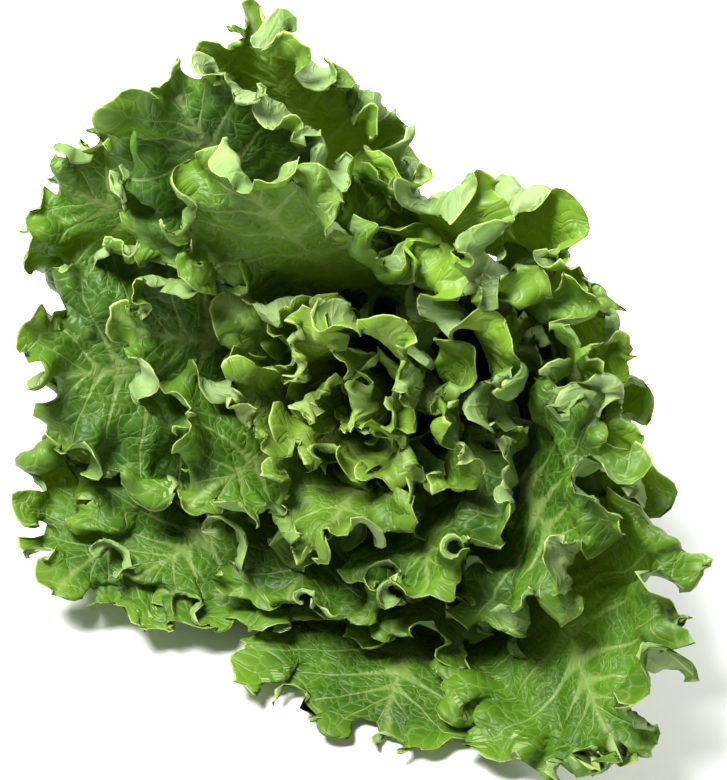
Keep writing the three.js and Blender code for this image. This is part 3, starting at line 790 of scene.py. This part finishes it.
def scars_piece(material):
    """The scars of the leaves that were pulled off, as one mesh."""
    places, turns = scar_places()
    mesh = bpy.data.meshes.new("scar_places")
    mesh.from_pydata(places, [], [])
    mesh.attributes.new("turn", "FLOAT_VECTOR", "POINT").data.foreach_set("vector", turns)
    holder = linked("scar_places", mesh)
    scar = linked("leaf_scar", scar_mesh(material))
    modifier = holder.modifiers.new("leaf_scars", "NODES")
    modifier.node_group = scar_tree()
    sockets = modifier.node_group.interface.items_tree
    keys = {socket.name: socket.identifier for socket in sockets if socket.in_out == "INPUT"}
    modifier[keys["Scar"]] = scar
    modifier[keys["Least size"]] = SCAR_SCALES[0]
    modifier[keys["Greatest size"]] = SCAR_SCALES[1]
    modifier[keys["Material"]] = material
    bpy.context.view_layer.update()
    evaluated = holder.evaluated_get(bpy.context.evaluated_depsgraph_get())
    made = bpy.data.meshes.new_from_object(evaluated)
    made.name = "leaf_scars"
    for vertex in made.vertices:
        vertex.co.z = max(vertex.co.z, ABOVE_FLOOR)
    holder.modifiers.remove(modifier)
    bpy.data.objects.remove(holder)
    bpy.data.objects.remove(scar)
    return linked("leaf_scars", made)


class Value:
    """A socket of a material's tree. Sums on it are written as Python and add their Math nodes."""

    def __init__(self, paint, socket):
        self.paint = paint
        self.socket = socket

    def math(self, operation, one, other):
        return self.paint.node("ShaderNodeMath", {"operation": operation}, {0: one, 1: other})

    def __add__(self, other):
        return self.math("ADD", self, other)

    def __sub__(self, other):
        return self.math("SUBTRACT", self, other)

    def __rsub__(self, other):
        return self.math("SUBTRACT", other, self)

    def __mul__(self, other):
        return self.math("MULTIPLY", self, other)

    __radd__ = __add__
    __rmul__ = __mul__

    def abs(self):
        return self.math("ABSOLUTE", self, 0)

    def fraction(self):
        return self.math("FRACT", self, 0)

    def most(self, other):
        return self.math("MAXIMUM", self, other)


class Paint:
    """One material and its tree."""

    def __init__(self, name):
        self.material = bpy.data.materials.new(name)
        self.material.use_nodes = True
        self.tree = self.material.node_tree
        self.tree.nodes.clear()

    def node(self, kind, settings=None, sockets=None, output=0):
        """A node with its settings, then its sockets' values or links. Returns one of its outputs."""
        made = self.tree.nodes.new(kind)
        for name, setting in (settings or {}).items():
            setattr(made, name, setting)
        for key, value in (sockets or {}).items():
            if isinstance(value, Value):
                self.tree.links.new(value.socket, made.inputs[key])
            else:
                made.inputs[key].default_value = value
        return Value(self, made.outputs[output])

    def attribute(self, name):
        """A vector attribute of the piece, and its three numbers."""
        vector = self.node("ShaderNodeAttribute", {"attribute_name": name}, output="Vector")
        split = self.node("ShaderNodeSeparateXYZ", sockets={0: vector}).socket.node
        return [vector] + [Value(self, output) for output in split.outputs]

    def rise(self, low, high, x):
        """0 below low, 1 above high, smooth between."""
        ends = {"Value": x, "From Min": low, "From Max": high}
        return self.node("ShaderNodeMapRange", {"interpolation_type": "SMOOTHSTEP"}, ends)

    def fall(self, low, high, x):
        """1 below low, 0 above high, smooth between."""
        return 1 - self.rise(low, high, x)

    def blend(self, share, one, other):
        """From one colour to the other."""
        return self.node("ShaderNodeMix", {"data_type": "RGBA"}, {0: share, 6: one, 7: other}, output=2)

    def noise(self, place, scale, detail, roughness, dimensions="3D", output=0):
        sockets = {"Vector": place, "Scale": scale, "Detail": detail, "Roughness": roughness}
        return self.node("ShaderNodeTexNoise", {"noise_dimensions": dimensions}, sockets, output)

    def cells(self, place, scale):
        """The distance to the nearest edge between cells on a plane."""
        settings = {"feature": "DISTANCE_TO_EDGE", "voronoi_dimensions": "2D"}
        return self.node("ShaderNodeTexVoronoi", settings, {"Vector": place, "Scale": scale})

    def scaled(self, place, factors):
        return self.node("ShaderNodeVectorMath", {"operation": "MULTIPLY"}, {0: place, 1: factors})

    def warped(self, place, push, amount):
        """The place pushed by a colour."""
        settings = {"operation": "MULTIPLY_ADD"}
        return self.node("ShaderNodeVectorMath", settings, {0: push, 1: amount, 2: place})

    def skin(self, color, roughness, relief, strength, distance=MM, others=None):
        """A surface whose relief stands as high as distance, in metres, for each 1 of its value."""
        heights = {"Strength": strength, "Distance": distance, "Height": relief}
        bump = self.node("ShaderNodeBump", sockets=heights)
        sockets = {"Base Color": color, "Roughness": roughness, "Normal": bump, **(others or {})}
        return self.node("ShaderNodeBsdfPrincipled", sockets=sockets)

    def finish(self, shader):
        output = self.tree.nodes.new("ShaderNodeOutputMaterial")
        self.tree.links.new(shader.socket, output.inputs["Surface"])
        return self.material


# Colours, in linear light
DEEP_GREEN = (0.022, 0.082, 0.003, 1)
MID_GREEN = (0.078, 0.200, 0.007, 1)
LIGHT_GREEN = (0.215, 0.375, 0.028, 1)
# The painted shade's darker, cooler green
PAINTED_SHADE_GREEN = (0.038, 0.115, 0.018, 1)
HEART_YELLOW = (0.310, 0.450, 0.050, 1)
UNDER_GREEN = (0.140, 0.265, 0.045, 1)
UNDER_PALE = (0.340, 0.470, 0.190, 1)
VEIN_PALE = (0.420, 0.510, 0.170, 1)
MARGIN_PALE = (0.500, 0.610, 0.180, 1)
RIB_WHITE = (0.640, 0.680, 0.420, 1)
THROUGH_GREEN = (0.560, 0.760, 0.050, 1)
STEM_SKIN = (0.520, 0.600, 0.300, 1)
STEM_GREEN = (0.300, 0.400, 0.120, 1)
STEM_PITH = (0.620, 0.610, 0.370, 1)
LATEX_BROWN = (0.300, 0.110, 0.030, 1)
DRY_BROWN = (0.160, 0.070, 0.025, 1)
FLOOR_PALE = (0.85, 0.85, 0.84, 1)

THROUGH_SHARE = 0.22
LEAF_INDEX = 1.4

# How fine the leaf's patterns are: their scales on a plane in centimetres
BIG_CELLS = 0.95
SMALL_CELLS = 2.6
CLOUDS = 0.35
SPECKS = 5.0
GRAIN = 14.0
WARPS = 1.3
WARP = (0.5, 0.5, 0)

# Where a line or a stain fades in or out, in millimetres
SIDE_VEIN = (0.12, 0.5)
VEINS_END = (3.0, 16.0)
YOUNG_MARGIN = (0.0, 14.0)
MARGIN_LINE = (0.1, 0.5)
STAINED_END = (-9.5, -5.0)
STAINED_RING = (0.4, 2.6)
DRY_RIM = (13.8, 16.6)


def leaf_material(name):
    """A green blade that lets light through, paler beneath, with a net of veins and a thin pale margin.
    Painted light and shade make it lighter round the head's upper side and a darker, cooler green round its
    left.
    """
    paint = Paint(name)
    flat = paint.attribute("leaf_flat")[0]
    _, phase, scale, edge = paint.attribute("leaf_net")
    _, upper, rib, age = paint.attribute("leaf_kind")
    # The tone with its painted light and shade, the painted shade's coolness, and the pale root
    _, tone_with_painted_light, painted_shade, root = paint.attribute("leaf_tone")
    young = paint.fall(0.0, 0.45, age)

    # The net of veins: side veins from the midrib, cells between them, and finer cells in those
    push = paint.noise(flat, WARPS, 0.0, 0.5, "2D", "Color")
    warped = paint.warped(flat, push, WARP)
    side_vein = (phase.fraction() - 0.5).abs() * scale
    side_line = paint.fall(*SIDE_VEIN, side_vein) * paint.rise(*VEINS_END, edge)
    big_cells = paint.cells(warped, BIG_CELLS)
    small_cells = paint.cells(warped, SMALL_CELLS)
    big_line = paint.fall(0.0, 0.045, big_cells)
    small_line = paint.fall(0.0, 0.08, small_cells)
    blade = paint.fall(0.1, 0.75, root)
    line = side_line.most(big_line * 0.65).most(small_line * 0.3).most(rib) * blade

    # Upper side
    cloud = paint.noise(flat, CLOUDS, 1.0, 0.5, "2D")
    speck = paint.noise(flat, SPECKS, 2.0, 0.6, "2D")
    # Painted light and shade: the tone lightens the leaves on the head's upper side and darkens those on
    # its left
    green = paint.blend(paint.rise(0.25, 0.75, cloud * 0.6 + tone_with_painted_light * 0.4), DEEP_GREEN, MID_GREEN)
    green = paint.blend(paint.rise(0.45, 0.95, tone_with_painted_light) * 0.8, green, LIGHT_GREEN)
    # Painted shade: leaves round the head's left side, the outer ones most, blend towards a darker, cooler
    # green
    green = paint.blend(painted_shade, green, PAINTED_SHADE_GREEN)
    green = paint.blend(young * 0.55, green, HEART_YELLOW)
    green = paint.blend(paint.fall(*YOUNG_MARGIN, edge) * 0.35, green, LIGHT_GREEN)
    green = paint.blend(paint.fall(0.0, 0.32, small_cells) * 0.12, green, LIGHT_GREEN)
    green = paint.blend(line * 0.34, green, VEIN_PALE)
    green = paint.blend(paint.rise(0.62, 0.8, speck) * 0.16, green, LIGHT_GREEN)

    # Under side: paler, with a silvery bloom and standing veins
    under = paint.blend(paint.rise(0.2, 0.85, cloud), UNDER_GREEN, UNDER_PALE)
    under = paint.blend(line * 0.5, under, VEIN_PALE)
    under = paint.blend(young * 0.4, under, HEART_YELLOW)
    color = paint.blend(upper, under, green)

    # Midrib, root and margin
    color = paint.blend(rib * paint.rise(0.05, 0.8, root) * 0.9, color, RIB_WHITE)
    color = paint.blend(paint.rise(0.45, 1.0, root) * 0.75, color, RIB_WHITE)
    color = paint.blend(paint.fall(*MARGIN_LINE, edge) * 0.85, color, MARGIN_PALE)

    # Relief in millimetres: the blade bulges between its veins on the upper side, and the veins stand below
    bulge = (paint.rise(0.0, 0.4, big_cells) * 0.5 + paint.rise(0.0, 0.35, small_cells) * 0.26) * blade
    grain = paint.noise(flat, GRAIN, 1.0, 0.6, "2D") * 0.10
    relief = bulge * (upper * 2 - 1) + line * 0.35 * (1 - upper * 2) + grain
    roughness = 0.38 + speck * 0.16 + (1 - upper) * 0.10
    skin = paint.skin(color, roughness, relief, 0.85, others={"IOR": LEAF_INDEX})
    through = paint.node("ShaderNodeBsdfTranslucent", sockets={"Color": THROUGH_GREEN})
    return paint.finish(paint.node("ShaderNodeMixShader", sockets={0: THROUGH_SHARE, 1: skin, 2: through}))


def stem_material():
    """Pale skin with fibres, and a cut face whose ring of bundles and rim are rusty with dried latex."""
    paint = Paint("cut_stem")
    place, _, _, height = paint.attribute("stem_place")
    _, face, radius, _ = paint.attribute("stem_kind")
    fibres = paint.noise(paint.scaled(place, (1, 1, 0.12)), 0.9, 4.0, 0.6)
    blotch = paint.noise(place, 0.16, 4.0, 0.6)
    grain = paint.noise(place, 1.6, 4.0, 0.65)
    skin = paint.blend(paint.rise(0.3, 0.7, fibres), STEM_SKIN, STEM_GREEN)
    skin = paint.blend(paint.fall(*STAINED_END, height + blotch * 2) * 0.7, skin, LATEX_BROWN)
    from_ring = (radius - BUNDLE_RING + (blotch - 0.5) * 2.5).abs()
    cut = paint.blend(paint.rise(0.35, 0.7, grain) * 0.5, STEM_PITH, STEM_GREEN)
    cut = paint.blend(paint.fall(*STAINED_RING, from_ring) * 0.75, cut, LATEX_BROWN)
    cut = paint.blend(paint.rise(*DRY_RIM, radius + (grain - 0.5) * 1.5) * 0.8, cut, DRY_BROWN)
    cut = paint.blend(paint.rise(0.5, 0.75, blotch) * 0.4, cut, LATEX_BROWN)
    relief = fibres * (1 - face) * 0.35 + grain * face * 0.3
    color = paint.blend(face, skin, cut)
    return paint.finish(paint.skin(color, 0.42 + grain * 0.25, relief, 0.7))


def scar_material():
    """A corky scar, brown where it has dried."""
    paint = Paint("leaf_scar")
    place = paint.node("ShaderNodeTexCoord", output="Object")
    blotch = paint.noise(place, 260.0, 4.0, 0.6)
    grain = paint.noise(place, 900.0, 3.0, 0.6)
    color = paint.blend(paint.rise(0.35, 0.65, blotch), LATEX_BROWN, STEM_SKIN)
    color = paint.blend(paint.rise(0.5, 0.8, grain) * 0.6, color, DRY_BROWN)
    return paint.finish(paint.skin(color, 0.55 + grain * 0.2, grain, 0.6, distance=MM / 2))


for piece in (stem_piece(stem_material()), scars_piece(scar_material())):
    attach(piece, "root")
    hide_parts("stem")

blades = {"heart_leaf": leaf_material("heart_leaf_blade"), "outer_leaf": leaf_material("outer_leaf_blade")}
for number in range(LEAF_COUNT):
    slot = "heart_leaf" if number < HEART_LEAVES else "outer_leaf"
    piece = leaf_piece(Leaf(number), blades[slot])
    node = f"leaf_{number + 1:02d}"
    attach(piece, "root")
    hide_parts(node)

# Floor and light, in metres
FLOOR_HALF = 3
LAMP_AIM = (0, 0, 0.08)
WORLD_STRENGTH = 0.2


def pale_floor():
    """A square of the plain floor."""
    mesh = bpy.data.meshes.new("pale_floor")
    corners = [(-1, -1), (1, -1), (1, 1), (-1, 1)]
    mesh.from_pydata([(x * FLOOR_HALF, y * FLOOR_HALF, 0) for x, y in corners], [], [(0, 1, 2, 3)])
    material = bpy.data.materials.new("pale_floor")
    material.use_nodes = True
    material.node_tree.nodes["Principled BSDF"].inputs["Base Color"].default_value = FLOOR_PALE
    mesh.materials.append(material)
    return linked("pale_floor", mesh)


def soft_lamp(name, power, size, place):
    """A square lamp that shines at the head."""
    lamp = bpy.data.lights.new(name, "AREA")
    lamp.energy = power
    lamp.size = size
    holder = linked(name, lamp)
    holder.location = place
    holder.rotation_euler = (Vector(place) - Vector(LAMP_AIM)).to_track_quat("Z", "Y").to_euler()


floor = pale_floor()
soft_lamp("soft_key", 46, 0.55, (-0.5, -0.1, 1.3))
soft_lamp("soft_back", 14, 0.5, (0.6, 0.8, 0.75))

world = bpy.data.worlds.new("studio")
world.use_nodes = True
world.node_tree.nodes["Background"].inputs["Color"].default_value = (1, 1, 1, 1)
world.node_tree.nodes["Background"].inputs["Strength"].default_value = WORLD_STRENGTH
bpy.context.scene.world = world
bpy.context.scene.view_settings.view_transform = "Standard"

# The camera looks from the photo's side, far off through a long lens
VIEW_RISE = math.radians(40)
VIEW_DISTANCE = 1.15  # metres
PIXELS_PER_MM = 2.45
FRAME_HEIGHT = 780  # pixels
AIM_RIGHT = 6.6
AIM_DOWN = 24.4

camera = linked("camera", bpy.data.cameras.new("camera"))
half_frame = FRAME_HEIGHT / 2 / PIXELS_PER_MM * MM
camera.data.lens = camera.data.sensor_width / 2 / (half_frame / VIEW_DISTANCE)
view_back = Vector((0, -math.cos(VIEW_RISE), math.sin(VIEW_RISE)))
view_up = Vector((0, math.sin(VIEW_RISE), math.cos(VIEW_RISE)))
middle = (Vector(solid_box[0]) + Vector(solid_box[1])) / 2
aim = middle + Vector((1, 0, 0)) * AIM_RIGHT * MM - view_up * AIM_DOWN * MM
camera.location = aim + view_back * VIEW_DISTANCE
camera.rotation_euler = view_back.to_track_quat("Z", "Y").to_euler()
bpy.context.scene.camera = camera
